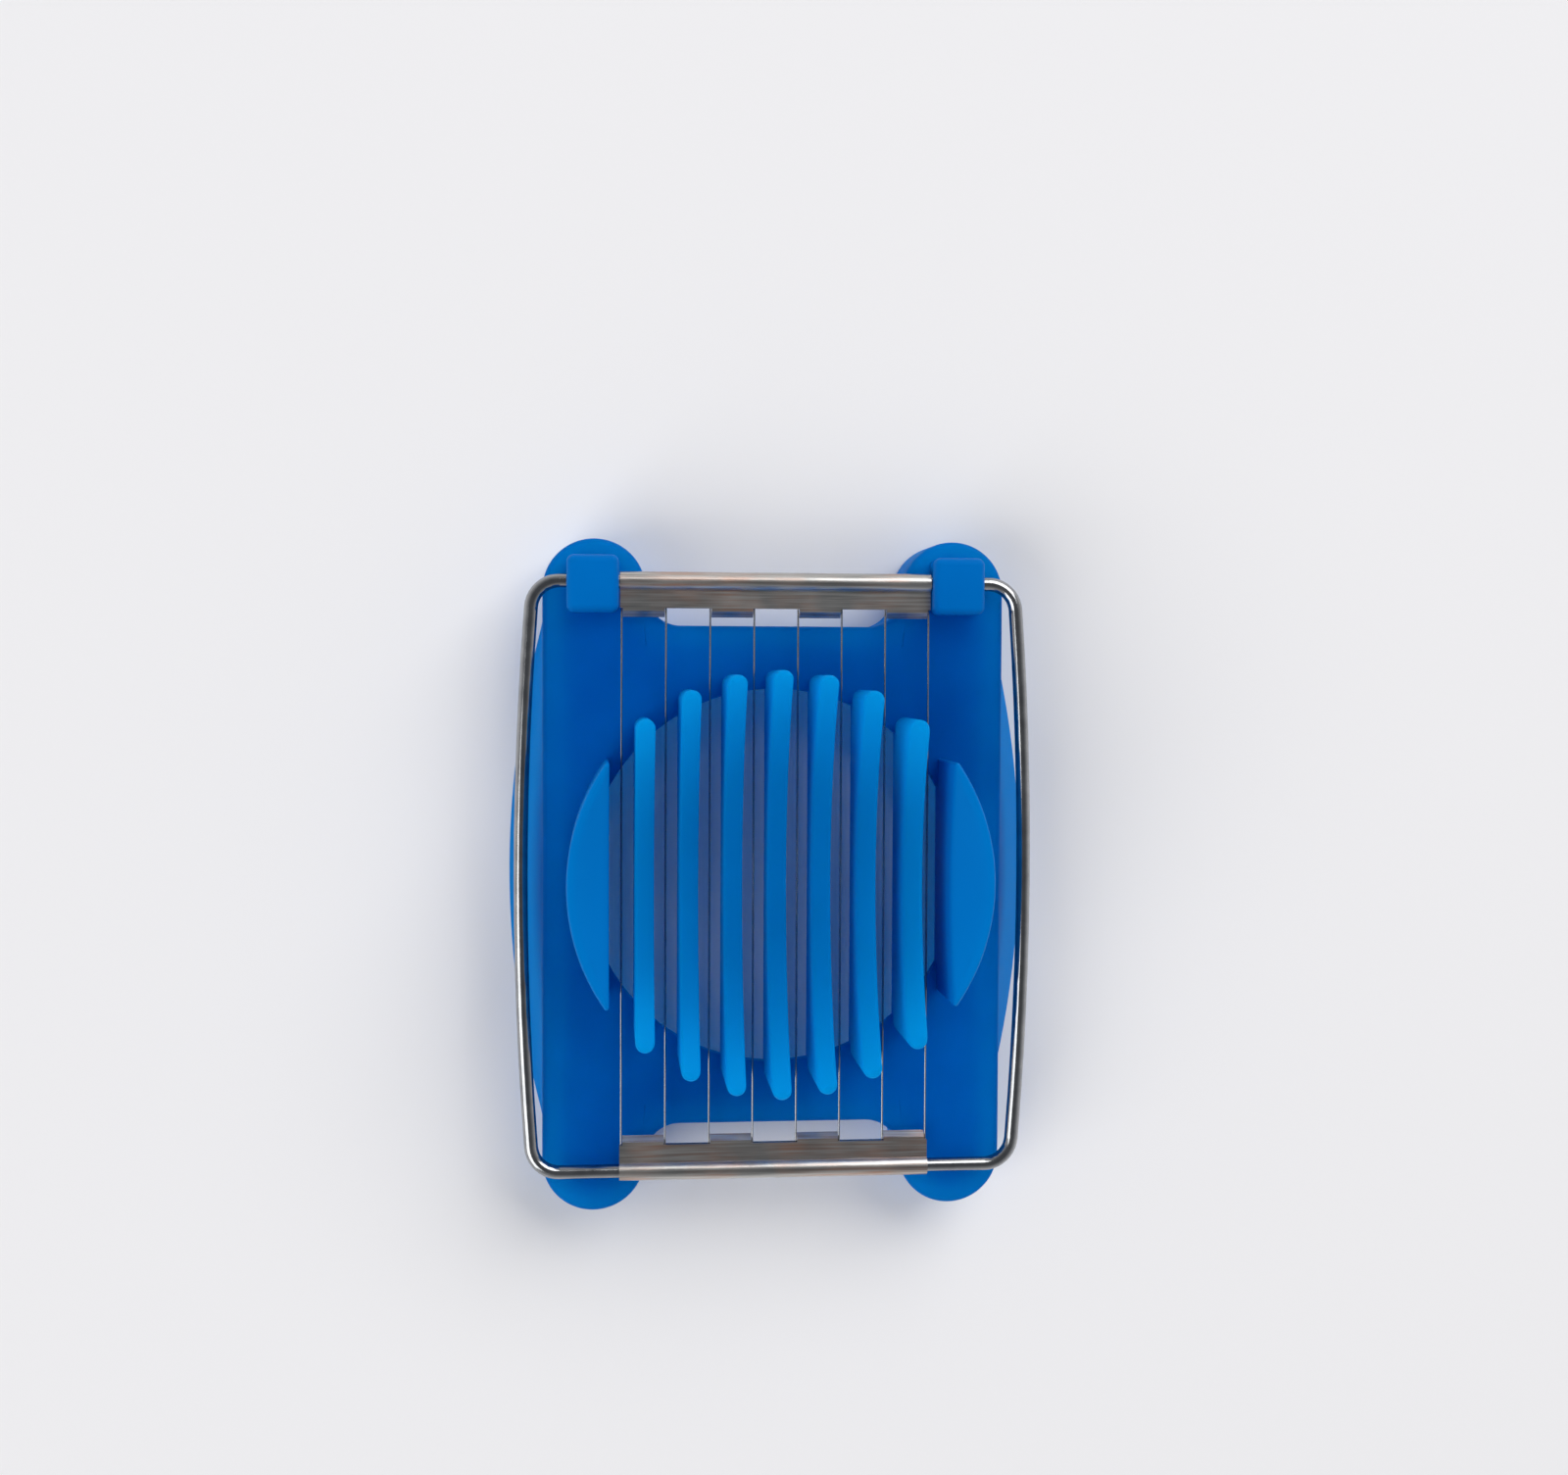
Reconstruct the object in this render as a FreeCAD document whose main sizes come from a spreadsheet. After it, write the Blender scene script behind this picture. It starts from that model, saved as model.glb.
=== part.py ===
import FreeCAD, Part
import math
import os
import re
import Sketcher

# Egg slicer: a moulded base with a slotted dish, and a hinged wire frame that carries the slicing wires.
# Millimetres. X runs across the slicer, +Y towards the hinge, +Z up; the origin is on the table, mid-base.

SIZES = {
    # slicing wires and fins
    "wire_pitch": 7.0,           # from one slicing wire to the next, and from fin to fin
    "slicer": 0.3,               # slicing wire, diameter
    "fin_width": 3.0,
    # dish
    "crescent_width": 6.5,       # last slot to the rim, X
    "crescent_wall": 1.7,
    "crescent_round": 0.4,       # upright corners of a crescent
    "dish_depth": 10.6,
    "dish_floor": 4.8,           # lowest point of the dish above the deck
    "rim_land": 0.8,             # flat top of the rim, radially
    "rim_ledge": 3.0,            # rim circle to the circle that the slots end on
    # folded strips
    "sheet": 0.4,
    "fold_gap": 0.04,            # radial, strip round the frame wire
    "grip_gap": 0.02,            # leaf to slicing wire
    "grip_place": 0.5,           # fold to the end of a slicing wire, Y
    "flange": 4.2,               # frame wire's axis to the flange's edge between tabs, Y
    "tab_reach": 0.5,            # flange's edge to a tab's bend, Y
    "tab_gap": 0.05,             # tab's side to slicing wire
    "lip_length": 1.3,
    "lip_angle": 45.0,           # degrees down from the flange
    "strip_margin": 0.25,        # outermost slicing wire to the strip's end, X
    # wire frame
    "frame_wire": 2.2,           # diameter
    "frame_bend": 4.5,           # corner radius of the wire's centre line
    "frame_bow": 1.6,            # how far the long sides bow out
    "end_room": 13.9,            # dish's rim to the axis of an end wire, Y
    "butt_gap": 0.3,             # between the two ends of the frame wire
    "rest_gap": 0.2,             # front strip above the lobes when closed
    # hinge lugs
    "lug_width": 8.2,            # X
    "lug_front": 5.0,            # hinge axis to the lug's front, Y
    "lug_back": 4.05,            # hinge axis to the lug's back, Y
    "lug_roof": 2.1,             # above the bore
    "lug_round": 1.2,
    "lug_gap": 0.2,              # strip's end to the lug, X
    "lug_snap": 0.2,             # the mouth at the lug's back is this much under the wire's diameter
    "hinge_clearance": 0.06,     # radial, frame wire in the lug
    "bend_start": 1.05,          # lug to the start of the frame's corner bend, X
    # base moulding
    "deck_top": 12.0,            # deck surface above the table
    "deck_thickness": 2.0,
    "wall": 1.8,                 # skirt
    "edge_round": 0.9,           # round along the deck's outer edge
    "side_gap": 0.6,             # frame wire to the base's straight side, X
    "lobe_radius": 8.2,
    "lobe_reach": 6.85,          # hinge axis to the end of a lobe, Y
    "notch_depth": 13.75,        # end notches between the lobes, Y
    "flare_length": 84.0,        # flared side, Y
    "flare_reach": 5.8,          # how far it stands out at the table, X
    "flare_drop": 1.2,           # deck surface to the top of the flare
}
FIN_COUNT = 7
WIRE_COUNT = FIN_COUNT + 1
TAB_COUNT = WIRE_COUNT // 2
SLACK = 1.0                      # overrun of cutting solids

doc = FreeCAD.newDocument("egg_slicer")
sheet = doc.addObject("Spreadsheet::Sheet", "sizes")
for row, (alias, value) in enumerate(SIZES.items(), start=1):
    sheet.set(f"A{row}", alias)
    sheet.set(f"B{row}", str(value))
    sheet.setAlias(f"B{row}", alias)
doc.recompute()


def size(text):
    """Expression text in which every size's name points at its cell."""
    return re.sub(r"[a-z_]+", lambda word: "sizes." + word[0] if word[0] in SIZES else word[0], text)


# Places that several pieces share, worked out from the sizes
OUTER_WIRE_X = f"(wire_pitch * {WIRE_COUNT - 1} / 2)"
SLOT_WIDTH = "(wire_pitch - fin_width)"
CRESCENT_X = f"({OUTER_WIRE_X} + {SLOT_WIDTH} / 2)"
RIM_RADIUS = f"({CRESCENT_X} + crescent_width)"
DISH_HEIGHT = "(dish_floor + dish_depth)"
DECK_UNDER = "(deck_top - deck_thickness)"
FIN_HEIGHT = f"(deck_thickness + {DISH_HEIGHT})"
BOWL_RADIUS = f"((({RIM_RADIUS} - rim_land) ^ 2 + dish_depth ^ 2) / (2 * dish_depth))"
BOWL_Z = f"(deck_top + dish_floor + {BOWL_RADIUS})"
WIRE_RADIUS = "(frame_wire / 2)"
FOLD_INNER = f"({WIRE_RADIUS} + fold_gap)"
FOLD_OUTER = f"({FOLD_INNER} + sheet)"
LEAF_GAP = "(slicer + 2 * grip_gap)"
AXIS_Y = f"({RIM_RADIUS} + end_room)"
AXIS_Z = f"(deck_top + {FOLD_OUTER} + rest_gap)"
TAB_WIDTH = "(wire_pitch - slicer - 2 * tab_gap)"
STRIP_END = f"({OUTER_WIRE_X} + strip_margin)"
LUG_X = f"({STRIP_END} + lug_gap)"
BEND_X = f"({LUG_X} + lug_width + bend_start)"
HALF_WIDTH = f"({BEND_X} + frame_bend - {WIRE_RADIUS} - side_gap)"
HALF_LENGTH = f"({AXIS_Y} + lobe_reach)"
NOTCH_FLOOR = f"({HALF_LENGTH} - notch_depth)"
LOBE_X = f"({HALF_WIDTH} - lobe_radius)"
LOBE_Y = f"({HALF_LENGTH} - lobe_radius)"


def bind(thing, **sizes):
    """Bind properties to expressions; x, y and z stand for the placement's base."""
    for name, text in sizes.items():
        path = f".Placement.Base.{name}" if name in ("x", "y", "z") else name
        thing.setExpression(path, size(str(text)))
    return thing


def box(name, x, y, z, length, width, height):
    """Box from its low corner (x, y, z)."""
    solid = doc.addObject("Part::Box", name)
    return bind(solid, x=x, y=y, z=z, Length=length, Width=width, Height=height)


def post(name, x, y, z, radius, height):
    """Upright cylinder."""
    solid = doc.addObject("Part::Cylinder", name)
    return bind(solid, x=x, y=y, z=z, Radius=radius, Height=height)


def rod(name, direction, x, y, z, radius, length):
    """Lying cylinder that starts at (x, y, z) and runs along direction."""
    solid = doc.addObject("Part::Cylinder", name)
    turn = FreeCAD.Rotation(FreeCAD.Vector(0, 0, 1), FreeCAD.Vector(*direction))
    solid.Placement = FreeCAD.Placement(FreeCAD.Vector(), turn)
    return bind(solid, x=x, y=y, z=z, Radius=radius, Height=length)


def fuse(name, *shapes):
    joined = doc.addObject("Part::MultiFuse", name)
    joined.Shapes = list(shapes)
    joined.Refine = True
    return joined


def cut(name, base, *tools):
    removed = doc.addObject("Part::Cut", name)
    removed.Base = base
    removed.Tool = tools[0] if len(tools) == 1 else fuse(name + "_tools", *tools)
    removed.Refine = True
    return removed


def common(name, *shapes):
    shared = doc.addObject("Part::MultiCommon", name)
    shared.Shapes = list(shapes)
    shared.Refine = True
    return shared


def mirror(name, source, normal):
    """Mirror image through the origin plane with that normal."""
    image = doc.addObject("Part::Mirroring", name)
    image.Source = source
    image.Normal = FreeCAD.Vector(*normal)
    return image


def four_ways(name, quarter):
    """A quarter and its images about the planes X = 0 and Y = 0, as one solid."""
    half = fuse(name + "_half", quarter, mirror(name + "_x", quarter, (1, 0, 0)))
    return fuse(name, half, mirror(name + "_y", half, (0, 1, 0)))


def both_sides(name, right):
    """A solid and its image about the plane X = 0."""
    return fuse(name, right, mirror(name + "_left", right, (1, 0, 0)))


def rounded(name, source, radius, chosen):
    """Round the edges of source that chosen() picks."""
    doc.recompute()
    fillet = doc.addObject("Part::Fillet", name)
    fillet.Base = source
    picked = [number for number, edge in enumerate(source.Shape.Edges, start=1) if chosen(edge)]
    fillet.Edges = [(number, radius, radius) for number in picked]
    return fillet


def value(text):
    """A shared place or a size as a number, for picking edges."""
    probe = sheet.evalExpression(size(text))
    return float(getattr(probe, "Value", probe))


def wire_x(number):
    """Place across the slicer of a slicing wire, which is also a slot's."""
    return f"(wire_pitch * {number - (WIRE_COUNT - 1) / 2})"


def level(edge, z):
    """True for an edge that lies in the horizontal plane at z."""
    return abs(edge.BoundBox.ZMin - z) < 1e-4 and abs(edge.BoundBox.ZMax - z) < 1e-4


# Base

def outline(name, inset, z, height):
    """The base's outline, set in by inset: side, round lobe and an S-curve into the notch's floor."""
    sweep = f"({LOBE_Y} - {NOTCH_FLOOR} + {inset})"
    floor = f"({NOTCH_FLOOR} - {inset})"
    inner_side = f"({HALF_WIDTH} - 2 * lobe_radius + {inset})"
    curve_x = f"({inner_side} - {sweep})"
    lobe_radius = f"(lobe_radius - {inset})"
    middle = box(name + "_middle", 0, 0, z, f"{HALF_WIDTH} - {inset}", floor, height)
    tongue = box(name + "_tongue", inner_side, 0, z, f"2 * {lobe_radius}", LOBE_Y, height)
    lobe = post(name + "_lobe", LOBE_X, LOBE_Y, z, lobe_radius, height)
    corner = box(name + "_corner", curve_x, floor, z, sweep, sweep, height)
    curve = cut(name + "_curve", corner, post(name + "_sweep", curve_x, LOBE_Y, z, sweep, height))
    return four_ways(name, fuse(name + "_quarter", middle, tongue, lobe, curve))


def flare(name, inset, z, top):
    """Side wall that leans out to an arc at the table: a slice of a wide cone."""
    arc = "((flare_length ^ 2 / 4 + flare_reach ^ 2) / (2 * flare_reach))"
    lean = "(flare_reach / (deck_top - flare_drop))"
    height = f"({top} - {z})"
    cone = doc.addObject("Part::Cone", name + "_cone")
    bind(
        cone,
        x=f"{HALF_WIDTH} + flare_reach - {arc}",
        z=z,
        Radius1=f"{arc} - {inset} - {lean} * {z}",
        Radius2=f"{arc} - {inset} - {lean} * {top}",
        Height=height,
    )
    span = box(
        name + "_span", f"{HALF_WIDTH} - 1.5 * wall", "- flare_length", z,
        "flare_reach + 3 * wall", "2 * flare_length", height,
    )
    return both_sides(name, common(name + "_right", cone, span))


def shell():
    """Deck and skirt, open underneath."""
    block = fuse("block", outline("outer", 0, 0, "deck_top"), flare("flare", 0, 0, DECK_UNDER))
    surface = value("deck_top")
    soft = rounded("soft_block", block, value("edge_round"), lambda edge: level(edge, surface))
    below = f"(0 - {SLACK})"
    hollow = outline("hollow", "wall", below, f"{DECK_UNDER} + {SLACK}")
    return cut("shell", soft, hollow, flare("flare_hollow", "wall", below, DECK_UNDER))


def slots():
    """Slots through the deck, between the fins, ending on a circle."""
    reach = f"({RIM_RADIUS} - rim_ledge)"
    below = f"({DECK_UNDER} - {SLACK})"
    height = f"(deck_thickness + 2 * {SLACK})"
    cutters = []
    for number in range(WIRE_COUNT):
        left = f"{wire_x(number)} - {SLOT_WIDTH} / 2"
        name = f"slot_{number + 1}"
        cutters.append(box(name, left, f"- {reach}", below, SLOT_WIDTH, f"2 * {reach}", height))
    return common("slots", post("slot_disc", 0, 0, below, reach, height), fuse("slot_boxes", *cutters))


def bowl(name, extra):
    """Sphere of the dish's surface, larger by extra."""
    ball = doc.addObject("Part::Sphere", name)
    return bind(ball, z=BOWL_Z, Radius=f"{BOWL_RADIUS} + {extra}")


def fin(number):
    """Upright fin with round ends on the rim circle, hollowed by the bowl."""
    name = f"fin_{number + 1}"
    x = f"(wire_pitch * {number - (FIN_COUNT - 1) / 2})"
    half = "(fin_width / 2)"
    left = f"{x} - {half}"
    reach = f"(sqrt({RIM_RADIUS} ^ 2 - {x} ^ 2) - {half})"
    blank = fuse(
        name + "_blank",
        box(name + "_web", left, f"- {reach}", DECK_UNDER, "fin_width", f"2 * {reach}", FIN_HEIGHT),
        post(name + "_front", x, f"- {reach}", DECK_UNDER, half, FIN_HEIGHT),
        post(name + "_rear", x, reach, DECK_UNDER, half, FIN_HEIGHT),
    )
    return cut(name, blank, bowl(name + "_bowl", 0))


def segment(name, x, radius, z, height):
    """Part of a disc beyond a plane at x."""
    side = box(name + "_side", x, f"- {radius}", z, radius, f"2 * {radius}", height)
    return common(name, post(name + "_disc", 0, 0, z, radius, height), side)


def crescent():
    """Side of the dish beyond the last slot, hollowed by the bowl."""
    blank = segment("crescent_segment", CRESCENT_X, RIM_RADIUS, DECK_UNDER, FIN_HEIGHT)

    def upright(edge):
        return edge.BoundBox.ZLength > 1

    soft = rounded("crescent_soft", blank, value("crescent_round"), upright)
    return cut("crescent", soft, bowl("crescent_bowl", 0))


def crescent_core():
    """Hollow that keeps a crescent to an even wall from below."""
    blank = segment(
        "core_segment", f"({CRESCENT_X} + crescent_wall)", f"({RIM_RADIUS} - crescent_wall)",
        f"({DECK_UNDER} - {SLACK})", f"({FIN_HEIGHT} + {SLACK})",
    )
    return cut("core", blank, bowl("core_bowl", "crescent_wall"))


def lug():
    """Hook over the frame wire on a rear lobe, with a snap mouth at its back."""
    bore_radius = f"({WIRE_RADIUS} + hinge_clearance)"
    mouth_height = "(frame_wire - lug_snap)"
    foot = "(deck_top - deck_thickness / 2)"
    top = f"({AXIS_Z} + {bore_radius} + lug_roof)"
    through = f"(lug_width + 2 * {SLACK})"
    start = f"({LUG_X} - {SLACK})"
    block = box(
        "lug_block", LUG_X, f"{AXIS_Y} - lug_front", foot,
        "lug_width", "lug_front + lug_back", f"{top} - {foot}",
    )
    low = value(foot)
    soft = rounded("lug_soft", block, value("lug_round"), lambda edge: not level(edge, low))
    bore = rod("lug_bore", (1, 0, 0), start, AXIS_Y, AXIS_Z, bore_radius, through)
    mouth = box(
        "lug_mouth", start, AXIS_Y, f"{AXIS_Z} - {mouth_height} / 2",
        through, f"lug_back + {SLACK}", mouth_height,
    )
    return cut("lug", soft, bore, mouth)


def base():
    """The whole moulding."""
    fins = [fin(number) for number in range(FIN_COUNT)]
    slotted = cut("slotted_shell", shell(), slots())
    crescents = both_sides("crescents", crescent())
    lugs = both_sides("lugs", lug())
    filled = fuse("filled_base", slotted, *fins, crescents, lugs)
    return cut("base", filled, both_sides("cores", crescent_core()))


# Cutter frame

def frame_path():
    """Quarter of the frame's centre line: half an end wire, a corner bend and half a bowed side."""
    end_y = value(AXIS_Y)
    bend_x = value(BEND_X)
    bend = value("frame_bend")
    side_x = value(f"{BEND_X} + frame_bend + frame_bow")
    centre_y = end_y - bend
    run = side_x - bend_x - bend
    side = (run ** 2 / 2 + run * bend + centre_y ** 2 / 2) / run
    turn = math.atan2(centre_y, bend_x - side_x + side)
    up = FreeCAD.Vector(0, 0, 1)
    path = doc.addObject("Sketcher::SketchObject", "frame_path")
    bind(path, z=AXIS_Z)
    line = path.addGeometry(Part.LineSegment(FreeCAD.Vector(0, end_y, 0), FreeCAD.Vector(bend_x, end_y, 0)))
    corner_circle = Part.Circle(FreeCAD.Vector(bend_x, centre_y, 0), up, bend)
    corner = path.addGeometry(Part.ArcOfCircle(corner_circle, turn, math.pi / 2))
    bow_circle = Part.Circle(FreeCAD.Vector(side_x - side, 0, 0), up, side)
    bow = path.addGeometry(Part.ArcOfCircle(bow_circle, 0, turn))
    rules = [
        ("Tangent", line, 2, corner, 2),
        ("Tangent", corner, 1, bow, 2),
        ("PointOnObject", line, 1, -2),
        ("Horizontal", line),
        ("PointOnObject", bow, 1, -1),
        ("PointOnObject", bow, 3, -1),
    ]
    for rule in rules:
        path.addConstraint(Sketcher.Constraint(*rule))
    measures = {
        "end_place": (("DistanceY", -1, 1, line, 1, end_y), AXIS_Y),
        "side_place": (("DistanceX", -1, 1, bow, 1, side_x), f"{BEND_X} + frame_bend + frame_bow"),
        "bend_place": (("DistanceX", -1, 1, line, 2, bend_x), BEND_X),
        "bend_radius": (("Radius", corner, bend), "frame_bend"),
    }
    for name, (measure, text) in measures.items():
        number = path.addConstraint(Sketcher.Constraint(*measure))
        path.renameConstraint(number, name)
        path.setExpression(f"Constraints.{name}", size(text))
    return path


def frame_wire():
    """Round wire bent to the frame's outline, its two ends butted in the middle of the front."""
    path = frame_path()
    section = doc.addObject("Part::Circle", "frame_section")
    across = FreeCAD.Rotation(FreeCAD.Vector(0, 0, 1), FreeCAD.Vector(1, 0, 0))
    section.Placement = FreeCAD.Placement(FreeCAD.Vector(), across)
    bind(section, y=AXIS_Y, z=AXIS_Z, Radius=WIRE_RADIUS)
    doc.recompute()
    quarter = doc.addObject("Part::Sweep", "frame_quarter")
    quarter.Sections = [section]
    quarter.Spine = (path, [f"Edge{number + 1}" for number in range(len(path.Shape.Edges))])
    quarter.Solid = True
    gap = box(
        "frame_butt", "- butt_gap / 2", f"- {AXIS_Y} - frame_wire", f"{AXIS_Z} - frame_wire",
        "butt_gap", "2 * frame_wire", "2 * frame_wire",
    )
    return cut("frame_loop_cut", four_ways("frame_loop", quarter), gap)


def strip():
    """Sheet folded round the rear end wire, with two leaves and bent tabs towards the middle."""
    start = f"(0 - {STRIP_END})"
    length = f"(2 * {STRIP_END})"
    through = f"({length} + 2 * {SLACK})"
    edge_y = f"({AXIS_Y} - flange)"
    bend_y = f"({edge_y} - tab_reach)"
    upper_z = f"({AXIS_Z} + {LEAF_GAP} / 2)"
    lower_z = f"({AXIS_Z} - {LEAF_GAP} / 2 - sheet)"
    tilt = FreeCAD.Rotation(FreeCAD.Vector(1, 0, 0), value("lip_angle"))
    pieces = [
        rod("strip_fold", (1, 0, 0), start, AXIS_Y, AXIS_Z, FOLD_OUTER, length),
        box("strip_upper", start, edge_y, upper_z, length, "flange", "sheet"),
        box("strip_lower", start, edge_y, lower_z, length, "flange", "sheet"),
    ]
    for number in range(TAB_COUNT):
        left = f"wire_pitch * {2 * number - (TAB_COUNT - 1)} - {TAB_WIDTH} / 2"
        tab = box(f"strip_tab_{number + 1}", left, bend_y, upper_z, TAB_WIDTH, "tab_reach", "sheet")
        lip = doc.addObject("Part::Box", f"strip_lip_{number + 1}")
        lip.Placement = FreeCAD.Placement(FreeCAD.Vector(), tilt)
        bind(
            lip,
            x=left,
            y=f"{bend_y} - lip_length * cos(lip_angle) + sheet * sin(lip_angle)",
            z=f"{upper_z} + sheet - lip_length * sin(lip_angle) - sheet * cos(lip_angle)",
            Length=TAB_WIDTH, Width="lip_length", Height="sheet",
        )
        pieces += [tab, lip]
    bore = rod("strip_bore", (1, 0, 0), f"{start} - {SLACK}", AXIS_Y, AXIS_Z, FOLD_INNER, through)
    slit_z = f"({AXIS_Z} - {LEAF_GAP} / 2)"
    slit = box("strip_slit", f"{start} - {SLACK}", edge_y, slit_z, through, "flange", LEAF_GAP)
    return cut("strip_folded", fuse("strip_sheet", *pieces), bore, slit)


def slicing_wire(number):
    """Straight wire, its ends gripped between the leaves of the two strips."""
    reach = f"({AXIS_Y} - {FOLD_OUTER} - grip_place)"
    x = wire_x(number)
    return rod(f"cutter_{number + 1}", (0, 1, 0), x, f"- {reach}", AXIS_Z, "slicer / 2", f"2 * {reach}")


hinge_strip = strip()
nodes = {
    "base": base(),
    "frame_wire": frame_wire(),
    "hinge_strip": hinge_strip,
    "front_strip": mirror("strip_image", hinge_strip, (0, 1, 0)),
}
for wire in range(WIRE_COUNT):
    nodes[f"slicing_wire_{wire + 1}"] = slicing_wire(wire)
for label, node in nodes.items():
    node.Label = label
doc.recompute()

for thing in doc.Objects:
    if "Invalid" in thing.State or "Error" in thing.State:
        raise RuntimeError(f"{thing.Name}: {thing.State}")
os.makedirs("parts", exist_ok=True)
for label, node in nodes.items():
    shape = node.Shape
    if shape.isNull() or not shape.isValid() or len(shape.Solids) != 1:
        raise RuntimeError(f"{label}: not one valid solid")
    shape.exportStep(f"parts/{label}.step")
    extent = shape.optimalBoundingBox(False)
    spans = f"{extent.XLength:.2f} x {extent.YLength:.2f} x {extent.ZLength:.2f}"
    print(f"{label}: {shape.Volume:.1f} mm3, {spans} mm, z {extent.ZMin:.2f} to {extent.ZMax:.2f}")
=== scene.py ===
# %% [markdown]
# # An egg slicer, dressed
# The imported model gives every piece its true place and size, in metres. It is loaded first and never
# moved. The wire frame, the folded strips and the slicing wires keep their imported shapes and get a
# finish; the moulded base is built again here, because a moulding has a soft radius on every edge.

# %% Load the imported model
import math
import bmesh
import bpy
import numpy as np
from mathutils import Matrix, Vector


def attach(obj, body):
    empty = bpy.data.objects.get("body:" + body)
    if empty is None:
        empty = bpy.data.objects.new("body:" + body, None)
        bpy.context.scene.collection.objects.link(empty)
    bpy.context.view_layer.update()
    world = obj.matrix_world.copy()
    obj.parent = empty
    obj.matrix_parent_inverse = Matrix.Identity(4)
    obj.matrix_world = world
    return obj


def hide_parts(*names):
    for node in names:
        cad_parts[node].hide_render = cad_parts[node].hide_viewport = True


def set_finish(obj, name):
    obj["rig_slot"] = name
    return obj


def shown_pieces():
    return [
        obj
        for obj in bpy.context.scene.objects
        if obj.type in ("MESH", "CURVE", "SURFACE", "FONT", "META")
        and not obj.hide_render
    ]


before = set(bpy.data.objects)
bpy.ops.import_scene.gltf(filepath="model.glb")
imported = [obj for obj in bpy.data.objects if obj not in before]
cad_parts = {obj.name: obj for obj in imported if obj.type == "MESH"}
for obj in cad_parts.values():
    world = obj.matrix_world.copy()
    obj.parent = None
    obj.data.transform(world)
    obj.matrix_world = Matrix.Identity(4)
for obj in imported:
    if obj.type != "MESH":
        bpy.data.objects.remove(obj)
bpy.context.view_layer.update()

# %% [markdown]
# ## Camera
# The slicer is seen from almost straight above, from about a third of a metre. A camera this close shows
# strong perspective: the rim of the dish is nearer than the deck and slides to the right of it. Turning
# the camera by eye would do for a rough match. Here its place, its small tilts and its focal length were
# solved from known points such as wire ends, rim and lobes, which is surer.

# %% Place the camera
PICTURE_WIDTH, FOCAL_LENGTH = 1600, 1936.8  # pixels
SENSOR_WIDTH = 36.0  # millimetres
CAMERA_PLACE = (-0.02857, 0.03275, 0.31473)
CAMERA_TILT = (-2.015, -5.663, 0.265)  # degrees
camera_data = bpy.data.cameras.new("camera")
camera_data.sensor_fit = "HORIZONTAL"
camera_data.sensor_width = SENSOR_WIDTH
camera_data.lens = FOCAL_LENGTH / PICTURE_WIDTH * SENSOR_WIDTH
camera_data.clip_start = 0.01
camera = bpy.data.objects.new("camera", camera_data)
camera.location = CAMERA_PLACE
camera.rotation_euler = [math.radians(angle) for angle in CAMERA_TILT]
bpy.context.scene.collection.objects.link(camera)
bpy.context.scene.camera = camera
print("lens:", round(camera_data.lens, 2), "mm")

# %% [markdown]
# ## Shaping a surface from arrays
# Every moulded form below is a grid: one parameter runs round an outline, the other runs up, over and
# down the section. Working on whole arrays keeps the formula readable, and the same few lines then turn
# any grid into a mesh. Where a row shrinks to a line or a point, its doubles are merged, so the skin is
# closed.

# %% Turn a grid of points into a piece
MM = 0.001
MERGE_WITHIN, FLAT_WITHIN = 2e-6, 1e-6  # metres
CREASE = math.radians(40)


def row(x, y, z):
    """One row of a grid: a plan (x, y) in mm at one height z, or at a height for each of its points."""
    return np.stack([x, y, np.broadcast_to(z, np.shape(x))], axis=-1)


def moulding(name, rows, thin, loop=False, caps=False):
    """Mesh object from rows[v, u] of points in mm. Each face joins two neighbours in a row to the same two
    in the next row; u closes on itself, v does if loop says so, and the ends get caps if asked. thin is
    kept on the mesh for the plastic: from 0, a thick block, to 1, a wall that light comes through."""
    rows = np.asarray(rows, float)
    count_v, count_u = rows.shape[:2]
    index = np.arange(count_v * count_u).reshape(count_v, count_u)
    ahead = np.roll(index, -1, axis=1)
    quads = np.stack([index, ahead, np.roll(ahead, -1, axis=0), np.roll(index, -1, axis=0)], axis=-1)
    faces = quads[: count_v if loop else count_v - 1].reshape(-1, 4).tolist()
    if caps:
        faces += [index[0].tolist(), index[-1].tolist()]
    mesh = bpy.data.meshes.new(name)
    mesh.from_pydata((rows.reshape(-1, 3) * MM).tolist(), [], faces)
    shape = bmesh.new()
    shape.from_mesh(mesh)
    bmesh.ops.remove_doubles(shape, verts=shape.verts, dist=MERGE_WITHIN)
    bmesh.ops.dissolve_degenerate(shape, edges=shape.edges, dist=FLAT_WITHIN)
    bmesh.ops.recalc_face_normals(shape, faces=shape.faces)
    shape.to_mesh(mesh)
    shape.free()
    mesh.shade_smooth()
    mesh.set_sharp_from_angle(angle=CREASE)
    thinness = mesh.attributes.new("thin", "FLOAT", "POINT")
    thinness.data.foreach_set("value", np.full(len(mesh.vertices), thin))
    piece = bpy.data.objects.new(name, mesh)
    bpy.context.scene.collection.objects.link(piece)
    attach(piece, "base")
    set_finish(piece, "base_plastic")
    print(name, len(mesh.polygons), "faces")
    return piece


# %% [markdown]
# ## Deck and skirt
# The base is one moulding: a flat deck on four round lobes, with a skirt down to the table whose long
# sides flare out, and a hollow underneath. A block with booleans would do, but its edges would be hard.
# Carrying one closed section round the outline gives the rounded deck edge, the flare, the thin wall and
# the hollow in a single skin. All sizes are in millimetres.

# %% Outline of the base
HALF_WIDTH, HALF_LENGTH, NOTCH_FLOOR, LOBE_RADIUS = 37.0, 53.74, 40.0, 8.2
SIDE_STEPS, LOBE_STEPS, NOTCH_STEPS, FLOOR_STEPS = 44, 40, 18, 8
lobe_x, lobe_y = HALF_WIDTH - LOBE_RADIUS, HALF_LENGTH - LOBE_RADIUS
notch_radius = lobe_y - NOTCH_FLOOR
notch_x = lobe_x - LOBE_RADIUS - notch_radius


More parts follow.
